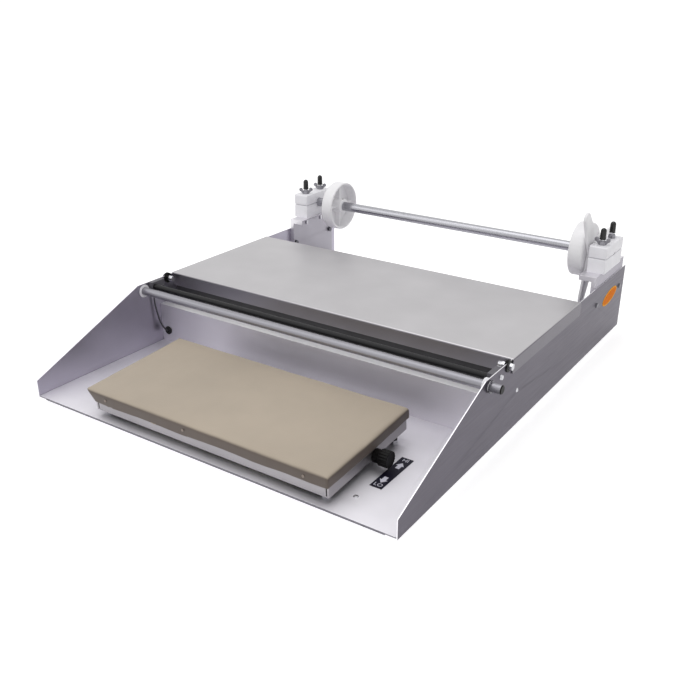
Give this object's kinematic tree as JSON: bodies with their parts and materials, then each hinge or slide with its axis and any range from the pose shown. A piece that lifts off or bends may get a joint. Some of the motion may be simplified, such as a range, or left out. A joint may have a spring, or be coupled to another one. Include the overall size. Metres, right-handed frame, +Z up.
{
  "type": "hand film wrapping machine",
  "caption": "Tabletop hand wrapper: heated sealing pad in an open front bay, film roller and hot cutting rod, flat work table and a clamped film roll shaft behind.",
  "frame": {"origin": "on the surface that the machine stands on, under the middle of its frame", "axes": "+X to the operator's right, +Y from the front edge to the rear, +Z up"},
  "size_m": [0.616, 0.7314, 0.2272],
  "materials": {
    "panel_steel": "satin ground stainless sheet, side panels",
    "floor_steel": "bright stainless sheet, lightly scuffed",
    "riser_steel": "satin stainless sheet",
    "table_steel": "cross-brushed stainless sheet",
    "bracket_steel": "bent stainless sheet",
    "bright_screw": "zinc plated, bright",
    "roll_shaft_steel": "ground and polished bar",
    "roller_tube": "satin drawn tube",
    "pan_sheet": "zinc coated sheet",
    "plate_alloy": "cast plate",
    "white_plastic": "machined white acetal and moulded nylon",
    "bush_plastic": "white acetal",
    "black_plastic": "moulded black cap",
    "black_ptfe": "black non-stick sleeve",
    "knob_plastic": "moulded phenolic",
    "feet_rubber": "moulded rubber",
    "ptfe_cloth": "tan coated glass cloth",
    "sponge": "silicone sponge",
    "element": "mica and resistance foil",
    "board": "insulation board",
    "dial_print": null,
    "sticker_orange": "plain oval sticker",
    "core_steel": "varnished laminations",
    "copper_coil": "wound copper",
    "strip_plastic": "moulded terminal strip",
    "rocker_red": "moulded rocker",
    "lead_jacket": "glass braid over wire"
  },
  "bodies": {
    "frame": {"base_plate": "floor_steel", "left_side_panel": "panel_steel", "right_side_panel": "panel_steel", "riser_panel": "riser_steel", "rear_wall": "riser_steel", "table_cover": "table_steel", "panel_rivets": "bright_screw", "rubber_feet": "feet_rubber", "left_bracket": "bracket_steel", "right_bracket": "bracket_steel", "bracket_screws": "bright_screw", "left_lower_block": "white_plastic", "right_lower_block": "white_plastic", "clamp_studs": "bright_screw", "stud_nuts": "bright_screw", "stud_caps": "black_plastic", "roller_bushes": "bush_plastic", "cutter_rod": "black_ptfe", "rod_holders": "knob_plastic", "holder_screws": "bright_screw", "terminal_bolts": "bright_screw", "terminal_washers": "knob_plastic", "terminal_nuts": "bright_screw", "cutter_lead": "lead_jacket", "lead_grommet": "feet_rubber", "pad_cover": "ptfe_cloth", "pad_sponge": "sponge", "heated_plate": "plate_alloy", "heating_element": "element", "insulation_board": "board", "pad_pan": "pan_sheet", "band_rivets": "bright_screw", "pad_legs": "black_plastic", "leg_nuts": "bright_screw", "thermostat_body": "knob_plastic", "dial_plate": "dial_print", "base_screw": "bright_screw", "side_sticker": "sticker_orange", "switch_housing": "knob_plastic", "cable_gland": "black_plastic", "transformer_core": "core_steel", "transformer_coils": "copper_coil", "terminal_strip": "strip_plastic"},
    "roll_shaft_body": {"roll_shaft": "roll_shaft_steel", "left_bobbin": "white_plastic", "bobbin_set_screw": "black_plastic"},
    "right_bobbin_body": {"right_bobbin": "white_plastic"},
    "lock_body": {"wing_lock": "white_plastic"},
    "film_roller_body": {"film_roller": "roller_tube", "roller_plugs": "knob_plastic", "roller_rings": "bright_screw"},
    "knob_body": {"thermostat_knob": "knob_plastic"},
    "rocker_body": {"switch_rocker": "rocker_red"},
    "left_clamp": {"left_upper_block": "white_plastic"},
    "right_clamp": {"right_upper_block": "white_plastic"},
    "left_front_nut": {"left_front_wing_nut": "bright_screw"},
    "left_rear_nut": {"left_rear_wing_nut": "bright_screw"},
    "right_front_nut": {"right_front_wing_nut": "bright_screw"},
    "right_rear_nut": {"right_rear_wing_nut": "bright_screw"}
  },
  "joints": [
    {"name": "roll_spin", "type": "hinge", "parent": "frame", "child": "roll_shaft_body", "pos_m": [0, 0.281, 0.1565], "axis": [1, 0, 0], "continuous": true},
    {"name": "bobbin_slide", "type": "slide", "parent": "roll_shaft_body", "child": "right_bobbin_body", "axis": [1, 0, 0], "range_m": [-0.25, 0]},
    {"name": "lock_turn", "type": "hinge", "parent": "right_bobbin_body", "child": "lock_body", "pos_m": [0.2613, 0.281, 0.1565], "axis": [1, 0, 0], "range_deg": [0, 90]},
    {"name": "roller_spin", "type": "hinge", "parent": "frame", "child": "film_roller_body", "pos_m": [0, -0.153, 0.1035], "axis": [1, 0, 0], "continuous": true},
    {"name": "dial_turn", "type": "hinge", "parent": "frame", "child": "knob_body", "pos_m": [0.1994, -0.25826, 0.02799], "axis": [1, 0, 0], "range_deg": [0, 270]},
    {"name": "rocker_tilt", "type": "hinge", "parent": "frame", "child": "rocker_body", "pos_m": [-0.19, 0.147, 0.056], "axis": [1, 0, 0], "range_deg": [-18, 0]},
    {"name": "left_clamp_lift", "type": "slide", "parent": "frame", "child": "left_clamp", "axis": [0, 0, 1], "range_m": [0, 0.0015]},
    {"name": "left_front_nut_turn", "type": "hinge", "parent": "left_clamp", "child": "left_front_nut", "pos_m": [-0.284, 0.2585, 0.175], "axis": [0, 0, 1], "range_deg": [0, 540]},
    {"name": "left_rear_nut_turn", "type": "hinge", "parent": "left_clamp", "child": "left_rear_nut", "pos_m": [-0.284, 0.3035, 0.175], "axis": [0, 0, 1], "range_deg": [0, 540]},
    {"name": "right_clamp_lift", "type": "slide", "parent": "frame", "child": "right_clamp", "axis": [0, 0, 1], "range_m": [0, 0.0015]},
    {"name": "right_front_nut_turn", "type": "hinge", "parent": "right_clamp", "child": "right_front_nut", "pos_m": [0.284, 0.2585, 0.175], "axis": [0, 0, 1], "range_deg": [0, 540]},
    {"name": "right_rear_nut_turn", "type": "hinge", "parent": "right_clamp", "child": "right_rear_nut", "pos_m": [0.284, 0.3035, 0.175], "axis": [0, 0, 1], "range_deg": [0, 540]}
  ],
  "couplings": [
    {"joint": "left_front_nut_turn", "follows": "left_clamp_lift", "rad_per_m": 6283.2},
    {"joint": "left_rear_nut_turn", "follows": "left_clamp_lift", "rad_per_m": 6283.2},
    {"joint": "right_front_nut_turn", "follows": "right_clamp_lift", "rad_per_m": 6283.2},
    {"joint": "right_rear_nut_turn", "follows": "right_clamp_lift", "rad_per_m": 6283.2}
  ]
}
